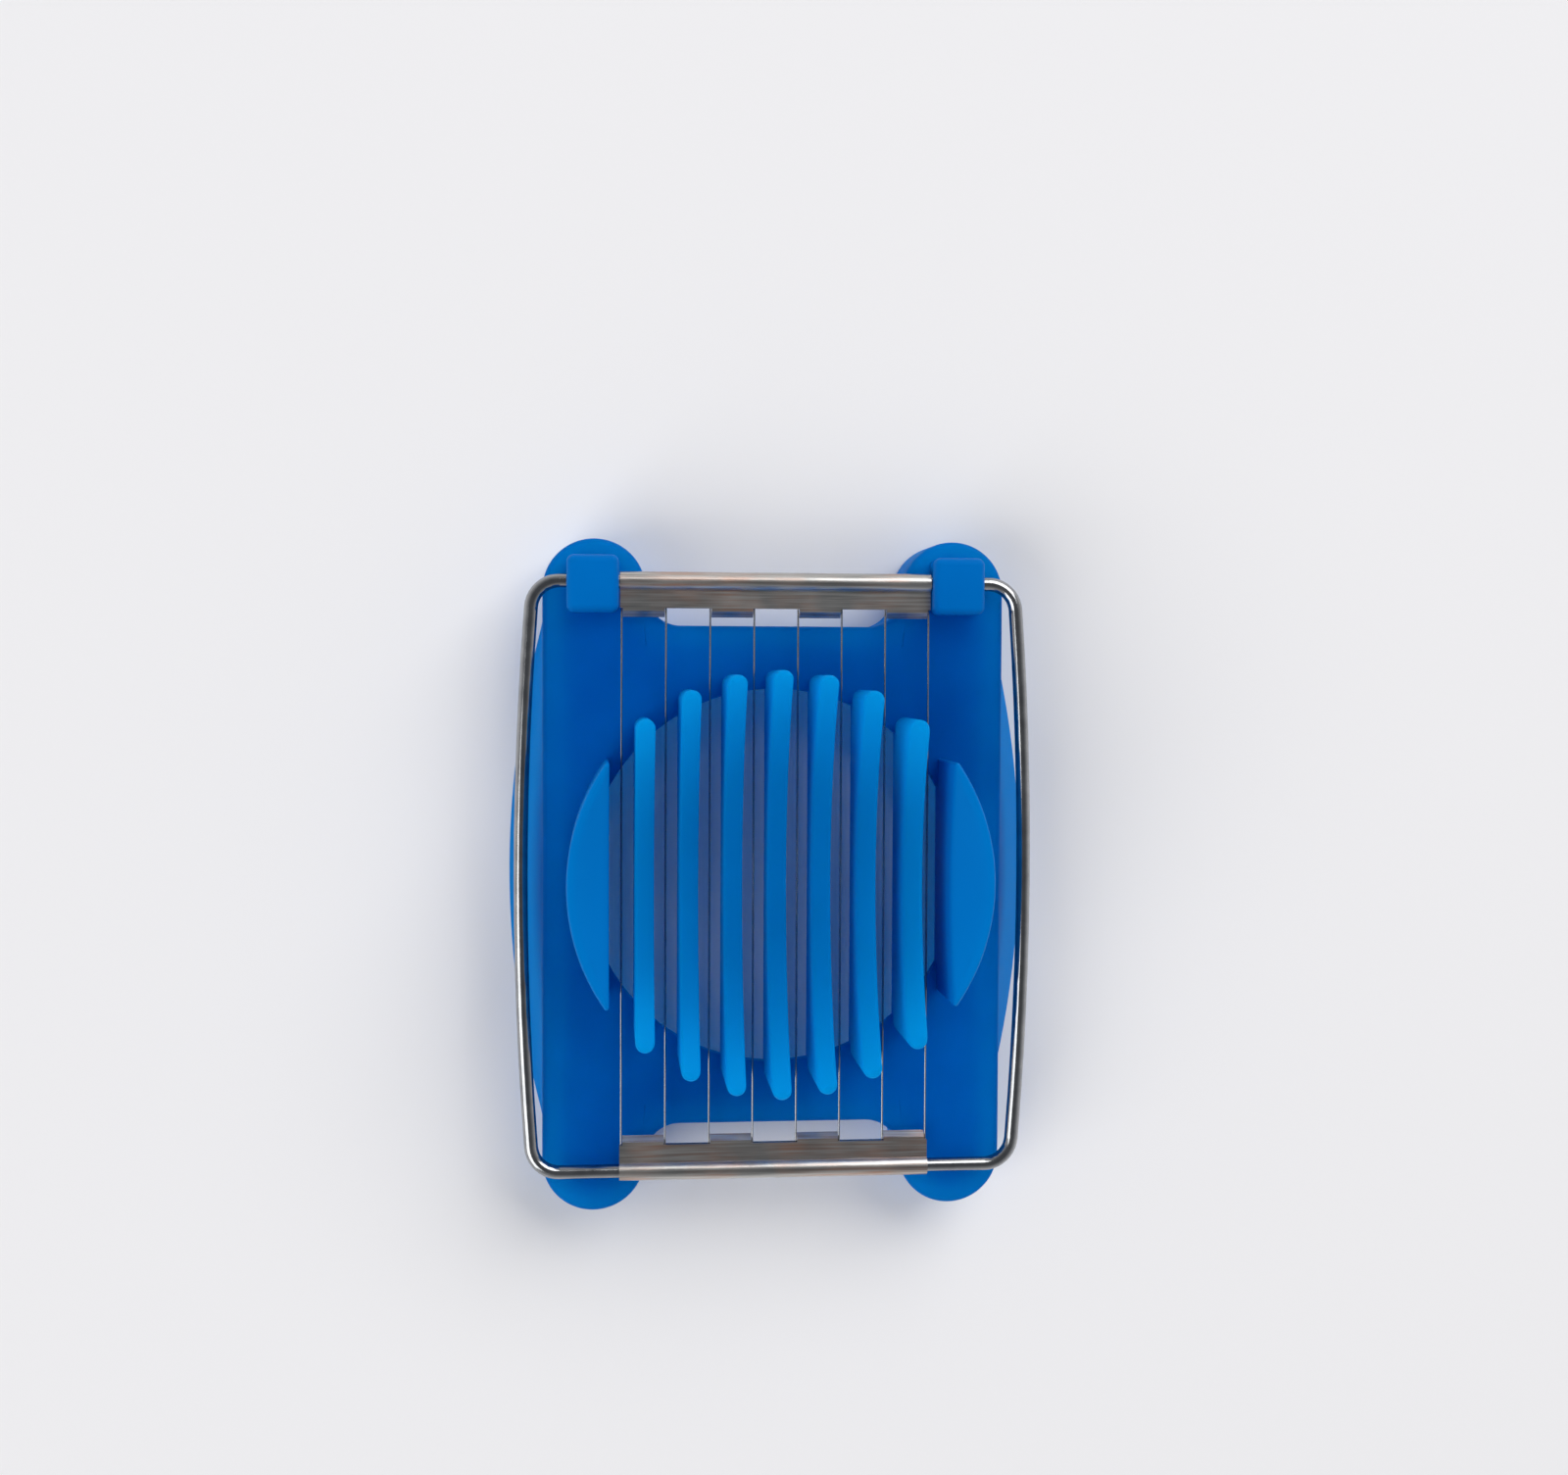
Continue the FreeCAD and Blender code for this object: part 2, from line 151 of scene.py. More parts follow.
def base_outline():
    """Points and outward normals (x, y, nx, ny) once round: straight side, half circle of a lobe, quarter
    circle into the end notch and half its flat floor; the other quarters are mirror images in turn."""
    side = np.linspace(0, lobe_y, SIDE_STEPS, endpoint=False)
    lobe = np.linspace(0, np.pi, LOBE_STEPS, endpoint=False)
    curve = np.linspace(0, -np.pi / 2, NOTCH_STEPS, endpoint=False)
    floor = np.linspace(notch_x, 0, FLOOR_STEPS)
    x = np.concatenate([np.full(SIDE_STEPS, HALF_WIDTH), lobe_x + LOBE_RADIUS * np.cos(lobe),
                        notch_x + notch_radius * np.cos(curve), floor])
    y = np.concatenate([side, lobe_y + LOBE_RADIUS * np.sin(lobe), lobe_y + notch_radius * np.sin(curve),
                        np.full(FLOOR_STEPS, NOTCH_FLOOR)])
    nx = np.concatenate([np.ones(SIDE_STEPS), np.cos(lobe), -np.cos(curve), np.zeros(FLOOR_STEPS)])
    ny = np.concatenate([np.zeros(SIDE_STEPS), np.sin(lobe), -np.sin(curve), np.ones(FLOOR_STEPS)])
    quarter = np.stack([x, y, nx, ny])
    mirrored = quarter[:, ::-1] * np.array([-1, 1, -1, 1])[:, None]
    half = np.concatenate([quarter, mirrored[:, 1:-1]], axis=1)
    left_middle = np.array([[-HALF_WIDTH], [0], [-1], [0]])
    return np.concatenate([half, left_middle, -half[:, 1:]], axis=1)


outline = base_outline()
print("outline points:", outline.shape[1])

# %% Rows on the skirt
DECK_TOP, DECK_UNDER, WALL = 12.0, 10.0, 1.8
FLARE_REACH, FLARE_LENGTH, FLARE_DROP = 5.8, 84.0, 1.2
FLARE_BLEND, FLARE_LEAST, FLARE_PAST = 0.4, 0.02, 4.0
SIDE_FACING = 0.999
flare_top = DECK_TOP - FLARE_DROP
flare_arc = (FLARE_LENGTH ** 2 / 4 + FLARE_REACH ** 2) / (2 * FLARE_REACH)
flare_lean = FLARE_REACH / flare_top


def wall_row(inset, z):
    """Outline moved in along its normal by inset; on the long sides it takes the flare where that is
    further out: a circle about a far centre whose radius shrinks with height. The two join smoothly, by
    half of their sum plus the root of their squared difference and a small square."""
    x, y, nx, ny = outline
    x, y = x - nx * inset, y - ny * inset
    straight = np.abs(x)
    under_root = np.clip((flare_arc - inset - flare_lean * z) ** 2 - y ** 2, 0, None)
    flared = HALF_WIDTH + FLARE_REACH - flare_arc + np.sqrt(under_root)
    joined = (straight + flared + np.sqrt((straight - flared) ** 2 + FLARE_BLEND ** 2)) / 2
    joined = np.minimum(joined, HALF_WIDTH + FLARE_REACH - inset)
    flares = (joined > straight + FLARE_LEAST) & (z <= flare_top)
    near = (straight > lobe_x) & (np.abs(y) < FLARE_LENGTH / 2 + FLARE_PAST)
    on_side = (np.abs(nx) > SIDE_FACING) & near & flares
    return row(np.where(on_side, np.sign(x) * joined, x), y, z)


print("flare: arc of", round(flare_arc, 1), "mm")

# %% Rows on the deck
MID_X, MID_Y = 33.8, 36.8
SLOT_RADIUS, CORE_RADIUS = 30.0, 31.5
STEP_ANGLE, STEP_SPAN = 27.5, 3.0  # degrees


def mid_row(z):
    """Outline drawn in to a plain rectangle, so that lobes and notches fill without crossing lines."""
    return row(np.clip(outline[0], -MID_X, MID_X), np.clip(outline[1], -MID_Y, MID_Y), z)


def ring_row(extra, z):
    """Circle on which the slots end; towards the two sides it steps out under the dish's closed sides, by
    a cubic ease from one radius to the other."""
    x, y, z = mid_row(z).T
    angle = np.arctan2(y, x)
    off_side = np.degrees(np.arcsin(np.abs(np.sin(angle))))
    step = np.clip((STEP_ANGLE - off_side) / STEP_SPAN, 0, 1)
    radius = SLOT_RADIUS + (CORE_RADIUS - SLOT_RADIUS) * step * step * (3 - 2 * step) + extra
    return row(radius * np.cos(angle), radius * np.sin(angle), z)


print("slots end", SLOT_RADIUS, "mm from the middle")

# %% Section carried round the outline
DECK_EDGE, EDGE_STEPS = 0.9, 7
SLOT_EDGE, SLOT_EDGE_MID, SLOT_UNDER = 0.3, 0.09, 0.25
FOOT_EDGE, FOOT_EDGE_MID = 0.35, 0.1
CEILING_EDGE, CEILING_EDGE_MID = 0.8, 0.25
SKIRT_HEIGHTS = (10.8, 10.0, 9.0, 8.0, 6.5, 5.0, 3.5, 2.0, 1.0, 0.35)
INNER_HEIGHTS = (2.0, 4.0, 6.0, 8.0, 9.2)
quarter_turn = np.linspace(0, np.pi / 2, EDGE_STEPS)
section = [ring_row(SLOT_UNDER, DECK_UNDER), ring_row(0, DECK_UNDER + SLOT_UNDER)]
section += [ring_row(0, DECK_TOP - SLOT_EDGE), ring_row(SLOT_EDGE_MID, DECK_TOP - SLOT_EDGE_MID)]
section += [ring_row(SLOT_EDGE, DECK_TOP), mid_row(DECK_TOP)]
section += [wall_row(DECK_EDGE * (1 - math.sin(turn)), DECK_TOP - DECK_EDGE * (1 - math.cos(turn)))
            for turn in quarter_turn]
section += [wall_row(0, z) for z in SKIRT_HEIGHTS]
section += [wall_row(FOOT_EDGE_MID, FOOT_EDGE_MID), wall_row(FOOT_EDGE, 0), wall_row(WALL - FOOT_EDGE, 0)]
section += [wall_row(WALL - FOOT_EDGE_MID, FOOT_EDGE_MID), wall_row(WALL, FOOT_EDGE)]
section += [wall_row(WALL, z) for z in INNER_HEIGHTS]
section += [wall_row(WALL + CEILING_EDGE_MID, DECK_UNDER - CEILING_EDGE_MID)]
section += [wall_row(WALL + CEILING_EDGE, DECK_UNDER), mid_row(DECK_UNDER)]
deck = moulding("base_deck", section, thin=1.0, loop=True)
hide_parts("base")

# %% [markdown]
# ## Fins of the dish
# Seven upright fins stand in the slots of the deck, and a sphere hollows their tops into the dish that
# holds the egg. Cutting a sphere out of seven slabs would leave hard edges. Here a fin is a long rounded
# outline, drawn in step by step: the first steps climb the wall, the next roll over the top edge, and the
# last reaches the middle line of the top.

# %% Height of the dish
RIM_RADIUS, RIM_LAND, DISH_DEPTH, DISH_FLOOR = 33.0, 0.8, 10.6, 4.8
RIM_TOP = DECK_TOP + DISH_FLOOR + DISH_DEPTH
bowl_radius = ((RIM_RADIUS - RIM_LAND) ** 2 + DISH_DEPTH ** 2) / (2 * DISH_DEPTH)


def dish_height(x, y, extra=0.0):
    """Lower half of a sphere over the middle of the base, cut off level with the rim; extra adds to the
    sphere's radius and lowers the rim, which gives the underside of a shell of that thickness."""
    depth = np.sqrt((bowl_radius + extra) ** 2 - np.minimum(x ** 2 + y ** 2, RIM_RADIUS ** 2))
    return np.minimum(DECK_TOP + DISH_FLOOR + bowl_radius - depth, RIM_TOP - extra)


print("dish: sphere of", round(bowl_radius, 1), "mm, rim at", RIM_TOP, "mm")

# %% A pad that the dish hollows
PAD_SOFT, PAD_SOFT_STEPS, PAD_LIFT = 0.55, 6, 0.05
PAD_FOOT = DECK_UNDER + PAD_LIFT
WALL_PARTS = (0.35, 0.7)


def pad_rows(plan, inner):
    """Rows of a pad under the dish: foot, wall, a quarter round below the dish's height, and the top.
    plan(inset) gives the outline drawn in by inset, and inner is how far in the last row lies."""
    x, y = plan(0)
    wall_top = dish_height(x, y) - PAD_SOFT
    rows = [row(*plan(inner), PAD_FOOT), row(x, y, PAD_FOOT)]
    rows += [row(x, y, PAD_FOOT + (wall_top - PAD_FOOT) * part) for part in WALL_PARTS]
    for turn in np.linspace(0, np.pi / 2, PAD_SOFT_STEPS):
        x, y = plan(PAD_SOFT * (1 - math.cos(turn)))
        rows.append(row(x, y, dish_height(x, y) - PAD_SOFT * (1 - math.sin(turn))))
    x, y = plan(inner)
    rows.append(row(x, y, dish_height(x, y)))
    return rows


print("pads stand at", PAD_FOOT, "mm, top edges rounded by", PAD_SOFT, "mm")

# %% Seven fins
FIN_COUNT, FIN_WIDTH, FIN_PITCH = 7, 3.0, 7.0
FIN_STEPS, FIN_END_STEPS = 61, 14


def fin_outline(middle, inset):
    """Plan of a fin drawn in by inset: two straight sides and two half circles about fixed centres."""
    half = FIN_WIDTH / 2 - inset
    reach = math.sqrt(RIM_RADIUS ** 2 - middle ** 2) - FIN_WIDTH / 2
    along = -np.cos(np.linspace(0, np.pi, FIN_STEPS)) * reach
    turn = np.linspace(0, np.pi, FIN_END_STEPS)[1:-1]
    side = np.full(FIN_STEPS, half)
    x = np.concatenate([side, half * np.cos(turn), -side, -half * np.cos(turn)])
    y = np.concatenate([along, reach + half * np.sin(turn), -along, -reach - half * np.sin(turn)])
    return middle + x, y


for number in range(FIN_COUNT):
    middle = FIN_PITCH * (number - (FIN_COUNT - 1) / 2)
    fin = pad_rows(lambda inset: fin_outline(middle, inset), FIN_WIDTH / 2)
    moulding(f"dish_fin_{number + 1}", fin, thin=1.0)

# %% [markdown]
# ## Sides of the dish
# Left and right of the fins the dish ends in two sides: slices of a disc with a hollow under them, so that
# the plastic has an even thickness. A solid slice would be simpler, but it would show from below. They are
# drawn in from their outline like the fins, close on a short middle line, and do so again underneath.

# %% Two sides
SIDE_X, SIDE_CORNER, LEAST_CORNER = 26.5, 0.4, 0.01
SIDE_WALL, SIDE_ROOF = 1.45, 1.5
SPINE_X, SPINE_REACH = 29.4, 11.5
ARC_STEPS, CORNER_STEPS = 41, 10
FILL_PARTS = (1.0, 0.65, 0.3)
chord_steps = ARC_STEPS + 2 * (CORNER_STEPS - 2)


def side_outline(sign, inset):
    """Plan of a side drawn in by inset: a chord and an arc about the dish's centre, with a small round
    between them that shrinks to a sharp corner as the outline moves in. The chord has as many points as
    the rest, so that both can close on the same points of a middle line."""
    small, large = max(SIDE_CORNER - inset, LEAST_CORNER), RIM_RADIUS - inset
    corner_x = SIDE_X + inset + small
    corner_y = math.sqrt((large - small) ** 2 - corner_x ** 2)
    corner_turn = math.atan2(corner_y, corner_x)
    chord = np.linspace(corner_y, -corner_y, chord_steps)
    lower = np.linspace(np.pi, 2 * np.pi - corner_turn, CORNER_STEPS)[1:-1]
    arc = np.linspace(-corner_turn, corner_turn, ARC_STEPS)
    upper = np.linspace(corner_turn, np.pi, CORNER_STEPS)[1:-1]
    x = np.concatenate([np.full(chord_steps, SIDE_X + inset), corner_x + small * np.cos(lower),
                        large * np.cos(arc), corner_x + small * np.cos(upper)])
    y = np.concatenate([chord, -corner_y + small * np.sin(lower), large * np.sin(arc),
                        corner_y + small * np.sin(upper)])
    return sign * x, y


def side_rows(sign):
    """Middle line, dish surface, rounded edge, wall and foot, then the same way back underneath."""
    top = pad_rows(lambda inset: side_outline(sign, inset), SIDE_WALL)[1:]
    x, y = side_outline(sign, SIDE_WALL)
    chord_y = y[:chord_steps]
    spine_y = np.clip(np.concatenate([chord_y, chord_y[::-1]]), -SPINE_REACH, SPINE_REACH)
    fill = [(x + (sign * SPINE_X - x) * part, y + (spine_y - y) * part) for part in FILL_PARTS]
    over = [row(px, py, dish_height(px, py)) for px, py in fill]
    under = [row(px, py, dish_height(px, py, SIDE_ROOF)) for px, py in [(x, y)] + fill[::-1]]
    return over + top[::-1] + [row(x, y, PAD_FOOT)] + under


for name, sign in (("left", -1), ("right", 1)):
    moulding(f"dish_side_{name}", side_rows(sign), thin=0.2)

# %% [markdown]
# ## Hinge lugs
# Two hooks on the rear lobes hold the frame wire. Each has a bore for the wire and a mouth at its back,
# a little tighter than the wire, through which it snaps in. A bevelled block with a hole cut through it
# would be close, but the bore would be bevelled too. So the hook is one profile carried across, and
# towards both ends only its outer line is drawn in along a quarter circle, which rounds the block.

# %% Profile of a hook
AXIS_Y, AXIS_Z, BORE, MOUTH = 46.9, 13.74, 1.16, 2.0
LUG_FRONT, LUG_BACK, LUG_TOP, LUG_FOOT, LUG_SOFT = 41.9, 50.95, 17.0, 11.4, 1.2
BORE_STEPS, LUG_SOFT_STEPS = 28, 8


def hook_profile():
    """Points (y, z) once round the hook, with the normals along which its outer line is drawn in: back,
    top and front of a rounded block, its foot, then the mouth and the bore, a circle that the mouth
    opens. The bore's normals are zero, because it keeps its size."""
    turn = np.linspace(0, np.pi / 2, LUG_SOFT_STEPS)
    high, rear, fore = LUG_TOP - LUG_SOFT, LUG_BACK - LUG_SOFT, LUG_FRONT + LUG_SOFT
    back = np.stack([np.full(2, LUG_BACK), np.linspace(AXIS_Z + MOUTH / 2, high, 2, endpoint=False)])
    rear_round = np.stack([rear + LUG_SOFT * np.cos(turn), high + LUG_SOFT * np.sin(turn)])
    fore_round = np.stack([fore - LUG_SOFT * np.sin(turn), high + LUG_SOFT * np.cos(turn)])
    foot = np.array([[LUG_FRONT, LUG_BACK, LUG_BACK], [LUG_FOOT, LUG_FOOT, AXIS_Z - MOUTH / 2]])
    half_mouth = math.asin(MOUTH / 2 / BORE)
    around = np.linspace(2 * np.pi - half_mouth, half_mouth, BORE_STEPS)
    bore = np.stack([AXIS_Y + BORE * np.cos(around), AXIS_Z + BORE * np.sin(around)])
    points = np.concatenate([back, rear_round, fore_round, foot, bore], axis=1)
    normals = [np.array([[1.0, 1.0], [0.0, 0.0]]), np.stack([np.cos(turn), np.sin(turn)]),
               np.stack([-np.sin(turn), np.cos(turn)]), np.array([[-1.0, 1.0, 1.0], [0.0, 0.0, 0.0]]),
               np.zeros_like(bore)]
    return points, np.concatenate(normals, axis=1)


points, normals = hook_profile()
print("hook profile:", points.shape[1], "points")

# %% Two hooks
LUG_X, LUG_WIDTH = 24.95, 8.2


def hook_rows(sign):
    """The profile at each place across; near an end it is drawn in by the radius minus the sine part of
    a quarter circle, while the place goes on by the radius minus the cosine part."""
    near = LUG_SOFT * (1 - np.cos(quarter_turn))
    across = np.concatenate([LUG_X + near, LUG_X + LUG_WIDTH - near[::-1]])
    drawn_in = LUG_SOFT * (1 - np.sin(quarter_turn))
    drawn_in = np.concatenate([drawn_in, drawn_in[::-1]])
    yz = points[None] - normals[None] * drawn_in[:, None, None]
    x = np.broadcast_to(sign * across[:, None], yz[:, 0].shape)
    return row(x, yz[:, 0], yz[:, 1])


for name, sign in (("left", -1), ("right", 1)):
    moulding(f"hinge_lug_{name}", hook_rows(sign), thin=0.3, caps=True)

# %% [markdown]
# ## Colours and nodes
# Colours are written as the eye sees them, in sRGB hex, and turned to linear light once. Each finish could
# be wired node by node in the editor; here one helper adds a node with its settings and its links, which
# keeps a finish to a few lines.

# %% Helpers for the finishes
FACTOR, LOW, HIGH, COLOUR = 0, 6, 7, 2  # sockets of a Mix node that blends two colours


def linear(text):
    """sRGB hex to linear RGBA: a straight line near black, and a power of 2.4 above it."""
    channels = np.array([int(text[i:i + 2], 16) for i in (1, 3, 5)]) / 255
    light = np.where(channels <= 0.04045, channels / 12.92, ((channels + 0.055) / 1.055) ** 2.4)
    return (*light.tolist(), 1.0)


def node(material, kind, inputs=(), **settings):
    """Add a node; inputs pairs a socket's name or number with a value or with an output to link."""
    tree = material.node_tree
    made = tree.nodes.new("ShaderNode" + kind)
    for key, value in settings.items():
        setattr(made, key, value)
    for socket, value in dict(inputs).items():
        if isinstance(value, bpy.types.NodeSocket):
            tree.links.new(value, made.inputs[socket])
        else:
            made.inputs[socket].default_value = value
    return made


def finish(name, **sockets):
    """New material with its surface shader; constant values go straight onto the shader's sockets."""
    material = bpy.data.materials.new(name)
    material.use_nodes = True
    shader = material.node_tree.nodes["Principled BSDF"]
    for socket, value in sockets.items():
        shader.inputs[socket.replace("_", " ")].default_value = value
    return material, shader


def dress(piece, material):
    """Give a piece this finish and no other."""
    piece.data.materials.clear()
    piece.data.materials.append(material)


print("middle grey in linear light:", round(linear("#808080")[0], 3))

# %% [markdown]
# ## Blue moulded polystyrene
# The base is a cheap injection moulding: evenly coloured, smooth but not polished, and so thin that light
# comes through it. That is why the fins glow and the slots between them are blue rather than black. A
# subsurface shader gives soft edges but lights nothing behind the wall, so a translucent shader is mixed
# in for that, with a smaller share where the moulding is thick. There the blue is purer. Painted light
# makes the tops of the fins and the lower skirt paler, by height: lit tops over shaded slots, and a skirt
# lit from the side. Broad, faint flow marks keep the deck from being perfectly even.

# %% Colour of the plastic
FLOW_SIZE, SKIRT_LIGHT_START, SKIRT_LIGHT_FULL = 18, 11, 7  # mm: width of a flow mark, two heights on the skirt
plastic, shader = finish("blue_polystyrene", Roughness=0.4, IOR=1.55, Specular_IOR_Level=0.12,
                         Specular_Tint=linear("#2A86DC"))
place = node(plastic, "TexCoord").outputs["Object"]
height = node(plastic, "SeparateXYZ", {0: place}).outputs["Z"]
thin = node(plastic, "Attribute", attribute_name="thin").outputs["Fac"]
# Painted light: the colour turns paler with height from deck to rim, so the fin tops read as lit and the
# deep slots as shaded; the thin value sets how much of it a piece gets.
span = {"Value": height, "From Min": DECK_TOP * MM, "From Max": RIM_TOP * MM, "To Max": thin}
painted_top_light = node(plastic, "MapRange", span, interpolation_type="SMOOTHSTEP").outputs[0]
# Painted light: the skirt turns paler from 11 mm down to 7 mm and below, as if it were lit from the side.
span = {"Value": height, "From Min": SKIRT_LIGHT_START * MM, "From Max": SKIRT_LIGHT_FULL * MM}
painted_skirt_light = node(plastic, "MapRange", span).outputs[0]
painted_light = node(plastic, "Math", {0: painted_top_light, 1: painted_skirt_light}, operation="MAXIMUM").outputs[0]
noise = {"Vector": place, "Scale": 1 / (FLOW_SIZE * MM), "Detail": 2.0}
flow = node(plastic, "TexNoise", noise).outputs[0]
marks = node(plastic, "MapRange", {"Value": flow, "From Min": 0.34, "From Max": 0.66}).outputs[0]
blues = {FACTOR: marks, LOW: linear("#0058A6"), HIGH: linear("#0070C0")}
wall_blue = node(plastic, "Mix", blues, data_type="RGBA").outputs[COLOUR]
blues = {FACTOR: thin, LOW: linear("#0070CC"), HIGH: wall_blue}
body_blue = node(plastic, "Mix", blues, data_type="RGBA").outputs[COLOUR]
# The pale blue mixed in here is painted light, from the two height ramps above.
blues = {FACTOR: painted_light, LOW: body_blue, HIGH: linear("#00A0E4")}
hue = node(plastic, "Mix", blues, data_type="RGBA").outputs[COLOUR]
plastic.node_tree.links.new(hue, shader.inputs["Base Color"])
print(plastic.name, "flow marks", FLOW_SIZE, "mm across")

# %% [markdown]
# A mould grain of about half a millimetre breaks up the sheen. The sheen itself is weak and tinted blue,
# because most of what comes back from such a plastic has been just under its skin.

# %% Skin of the plastic and light through it
GRAIN_SIZE, GRAIN_DEPTH = 0.5, 0.05  # mm
MOST_THROUGH = 0.6
noise = {"Vector": place, "Scale": 1 / (GRAIN_SIZE * MM), "Detail": 3.0}
grain = node(plastic, "TexNoise", noise).outputs[0]
skin = node(plastic, "Bump", {"Height": grain, "Strength": 0.06, "Distance": GRAIN_DEPTH * MM}).outputs[0]
plastic.node_tree.links.new(skin, shader.inputs["Normal"])
glow = node(plastic, "BsdfTranslucent", {"Color": linear("#40D5FF")}).outputs[0]
share = node(plastic, "Math", {0: thin, 1: MOST_THROUGH}, operation="MULTIPLY").outputs[0]
body = node(plastic, "MixShader", {0: share, 1: shader.outputs[0], 2: glow}).outputs[0]
plastic.node_tree.links.new(body, plastic.node_tree.nodes["Material Output"].inputs["Surface"])
moulded = [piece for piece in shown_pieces() if piece.get("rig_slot") == "base_plastic"]
for piece in moulded:
    dress(piece, plastic)
print(plastic.name, "on", len(moulded), "pieces")

# %% [markdown]
# ## Zinc-plated wire
# The frame is drawn steel wire with a bright zinc plate. One even metal would look like chrome, but the
# plate is a little uneven, so tone and roughness wander in patches of a few millimetres, and the bright
# line along the wire breaks up.

# %% Frame wire
PLATE_PATCH = 3  # mm
zinc, shader = finish("zinc_plated_wire", Metallic=1.0)
place = node(zinc, "TexCoord").outputs["Object"]
noise = {"Vector": place, "Scale": 1 / (PLATE_PATCH * MM), "Detail": 4.0}
patch = node(zinc, "TexNoise", noise).outputs[0]
greys = {FACTOR: patch, LOW: linear("#808285"), HIGH: linear("#B2B3B4")}
tone = node(zinc, "Mix", greys, data_type="RGBA").outputs[COLOUR]
rough = node(zinc, "MapRange", {"Value": patch, "To Min": 0.08, "To Max": 0.22}).outputs[0]
zinc.node_tree.links.new(tone, shader.inputs["Base Color"])
zinc.node_tree.links.new(rough, shader.inputs["Roughness"])
dress(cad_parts["frame_wire"], zinc)
print(zinc.name, "patches", PLATE_PATCH, "mm across")

# %% [markdown]
# ## Tinplate
# The strips are folded from tinned sheet. Rolling leaves long fine lines across the slicer, drawn here a
# little coarser than real so that they show. Faint warm patches on the sheet are a painted reflection.
# A noise that is stretched along the strip gives the lines, and a round one gives the patches.

# %% Lines and patches of the sheet
LINE_SIZE, LINE_DEPTH, WARM_REFLECTION_PATCH = 0.35, 0.03, 9  # mm
LINE_STRETCH = 0.03  # scale of the lines along the strip
tin, shader = finish("rolled_tinplate", Metallic=1.0)
place = node(tin, "TexCoord").outputs["Object"]
along = node(tin, "Mapping", {"Vector": place, "Scale": (LINE_STRETCH, 1.0, 1.0)}).outputs[0]
noise = {"Vector": along, "Scale": 1 / (LINE_SIZE * MM), "Detail": 3.0}
lines = node(tin, "TexNoise", noise).outputs[0]
streaks = node(tin, "MapRange", {"Value": lines, "From Min": 0.34, "From Max": 0.66}).outputs[0]
noise = {"Vector": place, "Scale": 1 / (WARM_REFLECTION_PATCH * MM), "Detail": 3.0}
dull = node(tin, "TexNoise", noise).outputs[0]
patches = node(tin, "MapRange", {"Value": dull, "From Min": 0.38, "From Max": 0.62}).outputs[0]
print(tin.name, "lines", LINE_SIZE, "mm apart")

# %% Folded strips
# The warm patches are a painted reflection, scattered at random over the sheet.
tones = {FACTOR: patches, LOW: linear("#999997"), HIGH: linear("#BA9685")}
warm = node(tin, "Mix", tones, data_type="RGBA").outputs[COLOUR]
tones = {FACTOR: streaks, LOW: warm, HIGH: linear("#C8C6C2")}
tone = node(tin, "Mix", tones, data_type="RGBA").outputs[COLOUR]
rough = node(tin, "MapRange", {"Value": patches, "To Min": 0.28, "To Max": 0.34}).outputs[0]
rolled = node(tin, "Bump", {"Height": lines, "Strength": 0.25, "Distance": LINE_DEPTH * MM}).outputs[0]
tin.node_tree.links.new(tone, shader.inputs["Base Color"])
tin.node_tree.links.new(rough, shader.inputs["Roughness"])
tin.node_tree.links.new(rolled, shader.inputs["Normal"])
for name in ("hinge_strip", "front_strip"):
    dress(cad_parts[name], tin)
    print(tin.name, "on", name)

# %% [markdown]
# ## Stainless slicing wire
# Thin hard-drawn stainless wire: grey, with a bright line along it. It is too fine for scratches to show,
# so a slow change of tone along its length is all that it gets.

# %% Slicing wires
WIRE_COUNT, WIRE_PATCH = 8, 4  # patches in mm
stainless, shader = finish("drawn_stainless", Metallic=1.0, Roughness=0.2)
place = node(stainless, "TexCoord").outputs["Object"]
noise = {"Vector": place, "Scale": 1 / (WIRE_PATCH * MM), "Detail": 2.0}
slow = node(stainless, "TexNoise", noise).outputs[0]
greys = {FACTOR: slow, LOW: linear("#8A8C8E"), HIGH: linear("#AEB0B2")}
tone = node(stainless, "Mix", greys, data_type="RGBA").outputs[COLOUR]
stainless.node_tree.links.new(tone, shader.inputs["Base Color"])
for number in range(WIRE_COUNT):
    dress(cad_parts[f"slicing_wire_{number + 1}"], stainless)
print(stainless.name, "on", WIRE_COUNT, "wires")

# %% [markdown]
# ## Floor
# A pale matt floor takes the slicer's shadow. Far from the slicer a plain floor would fade to grey and end
# in a line, so there it takes the horizon's colour, for the camera and for reflections alone.

# %% Lay the floor
HORIZON, SKY_STRENGTH = "#EFEFF1", 0.9
FLOOR_HALF, FLOOR_DROP, FADE_START, FADE_END = 4.0, 0.00003, 0.3, 1.1  # metres
corners = FLOOR_HALF * np.array([[-1, -1, 0], [1, -1, 0], [1, 1, 0], [-1, 1, 0]]) - [0, 0, FLOOR_DROP]
floor_mesh = bpy.data.meshes.new("floor")
floor_mesh.from_pydata(corners.tolist(), [], [(0, 1, 2, 3)])
floor = bpy.data.objects.new("floor", floor_mesh)
bpy.context.scene.collection.objects.link(floor)
paper, shader = finish("matt_paper", Base_Color=linear("#F2F1F2"), Roughness=0.9, Specular_IOR_Level=0.2)
dress(floor, paper)
print(floor.name, 2 * FLOOR_HALF, "m wide")

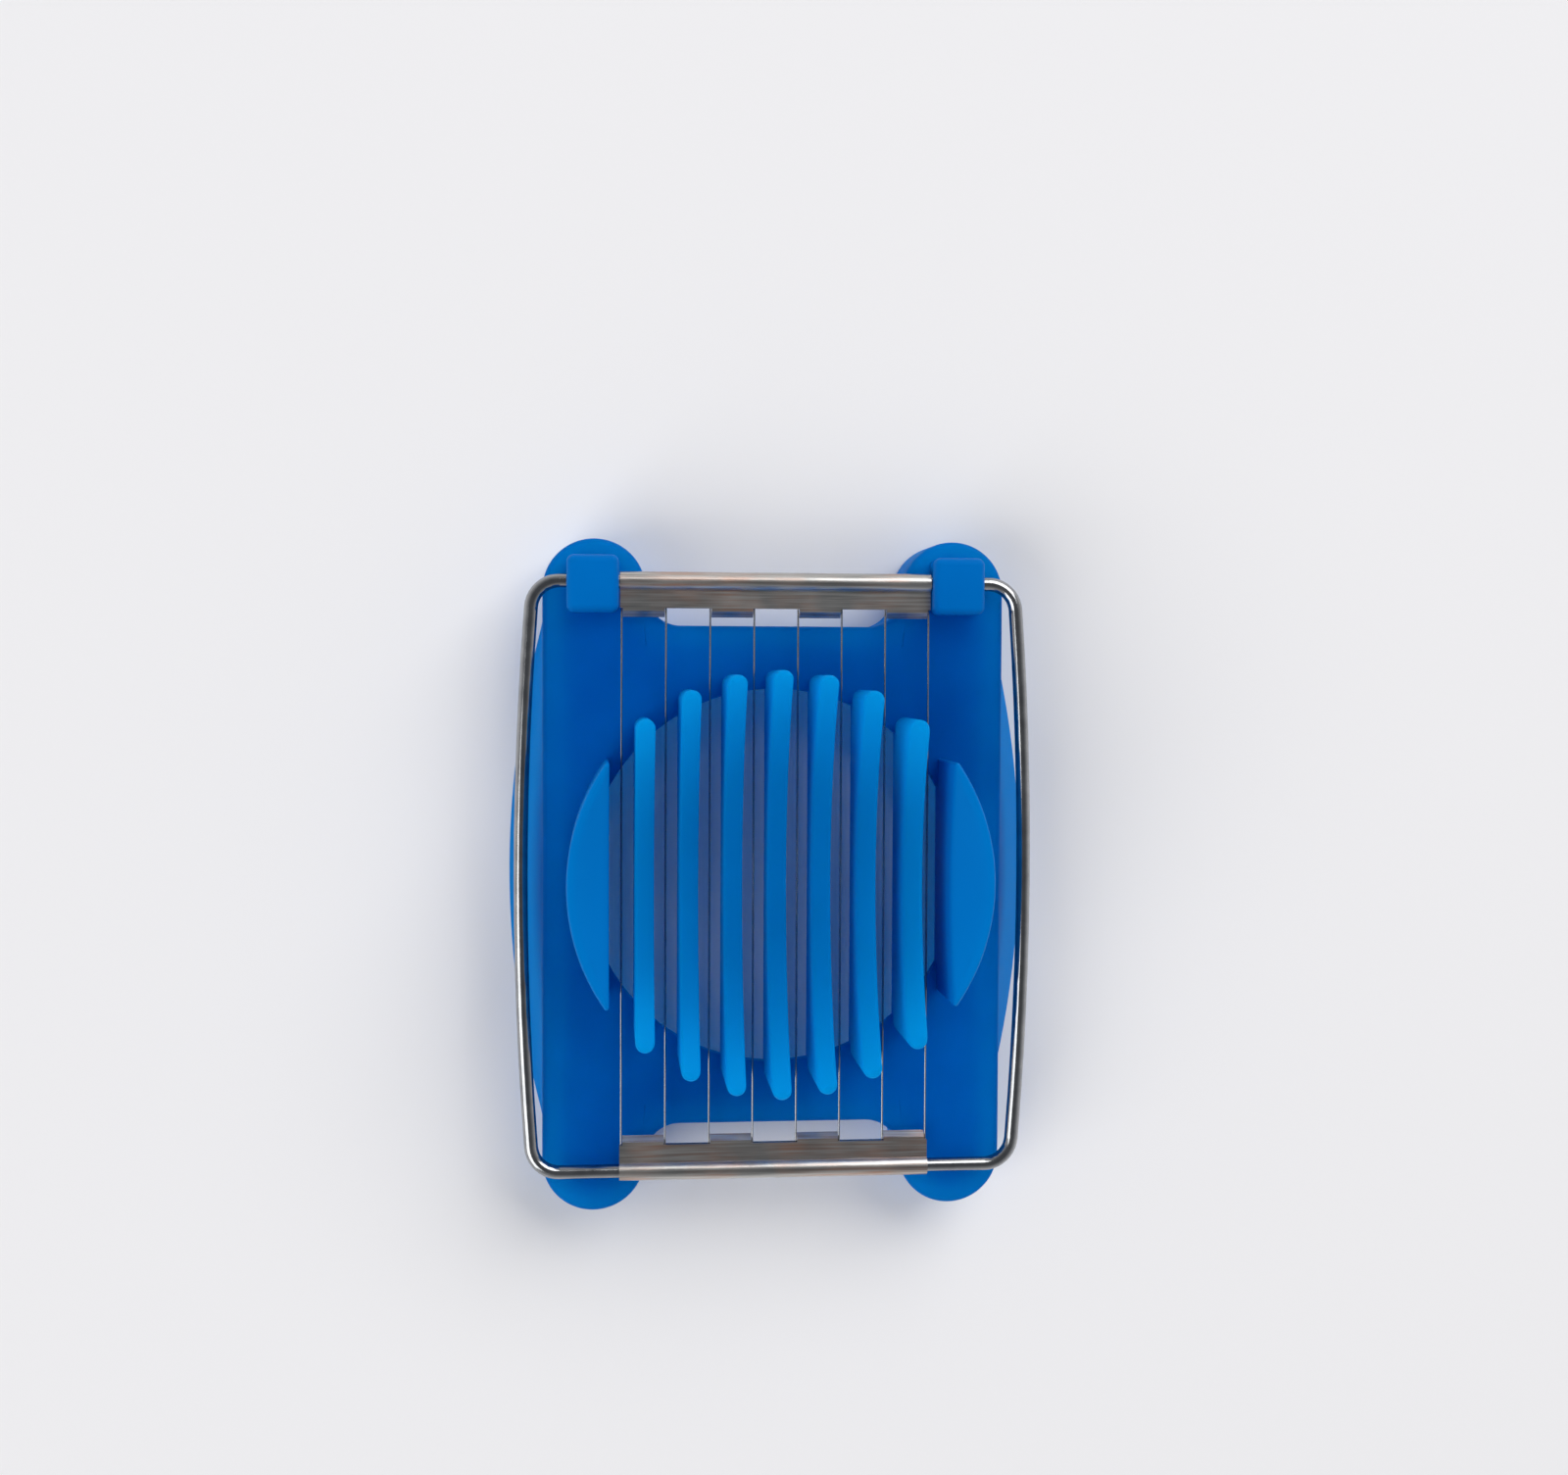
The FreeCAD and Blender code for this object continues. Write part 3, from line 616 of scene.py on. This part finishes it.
# %% Fade it into the horizon
place = node(paper, "TexCoord").outputs["Object"]
distance = node(paper, "VectorMath", {0: place}, operation="LENGTH").outputs["Value"]
span = {"Value": distance, "From Min": FADE_START, "From Max": FADE_END}
away = node(paper, "MapRange", span).outputs[0]
ray = node(paper, "LightPath").outputs
seen = node(paper, "Math", {0: ray["Is Camera Ray"], 1: ray["Is Glossy Ray"]}, operation="ADD").outputs[0]
share = node(paper, "Math", {0: away, 1: seen}, operation="MULTIPLY").outputs[0]
pale = node(paper, "Emission", {"Color": linear(HORIZON), "Strength": SKY_STRENGTH}).outputs[0]
ground = node(paper, "MixShader", {0: share, 1: shader.outputs[0], 2: pale}).outputs[0]
paper.node_tree.links.new(ground, paper.node_tree.nodes["Material Output"].inputs["Surface"])
print(paper.name, "fades from", FADE_START, "to", FADE_END, "m")

# %% [markdown]
# ## Light
# One even sky would leave flat metal with nothing to reflect, so it is darker overhead than at the
# horizon. Two broad lamps, one from behind and one from the front, add soft shadows and the bright lines
# on the wires. Together they light a surface that faces up at a level at which a colour renders about as
# it is written.

# %% Sky
SKY_LOW, SKY_HIGH = 0.05, 0.9  # sines of the heights between which the sky darkens
world = bpy.data.worlds.new("soft_sky")
bpy.context.scene.world = world
world.use_nodes = True
background = world.node_tree.nodes["Background"]
direction = node(world, "TexCoord").outputs["Generated"]
upward = node(world, "SeparateXYZ", {0: direction}).outputs["Z"]
span = {"Value": upward, "From Min": SKY_LOW, "From Max": SKY_HIGH}
fade = node(world, "MapRange", span).outputs[0]
greys = {FACTOR: fade, LOW: linear(HORIZON), HIGH: linear("#6A6C70")}
sky = node(world, "Mix", greys, data_type="RGBA").outputs[COLOUR]
world.node_tree.links.new(sky, background.inputs["Color"])
background.inputs["Strength"].default_value = SKY_STRENGTH
print(world.name, "strength", SKY_STRENGTH)

# %% Lamps
LAMP_SIZE = 2.0  # metres
LAMPS = (("key", (1.2, 1.65, 1.75), 48.0), ("fill", (-1.75, -1.1, 1.65), 36.0))
for name, spot, watts in LAMPS:
    lamp_data = bpy.data.lights.new(name, "AREA")
    lamp_data.size = LAMP_SIZE
    lamp_data.energy = watts
    lamp = bpy.data.objects.new(name, lamp_data)
    lamp.location = spot
    lamp.rotation_euler = (-Vector(spot)).to_track_quat("-Z", "Y").to_euler()
    bpy.context.scene.collection.objects.link(lamp)
    print(name, watts, "W")
bpy.context.scene.view_settings.view_transform = "Standard"
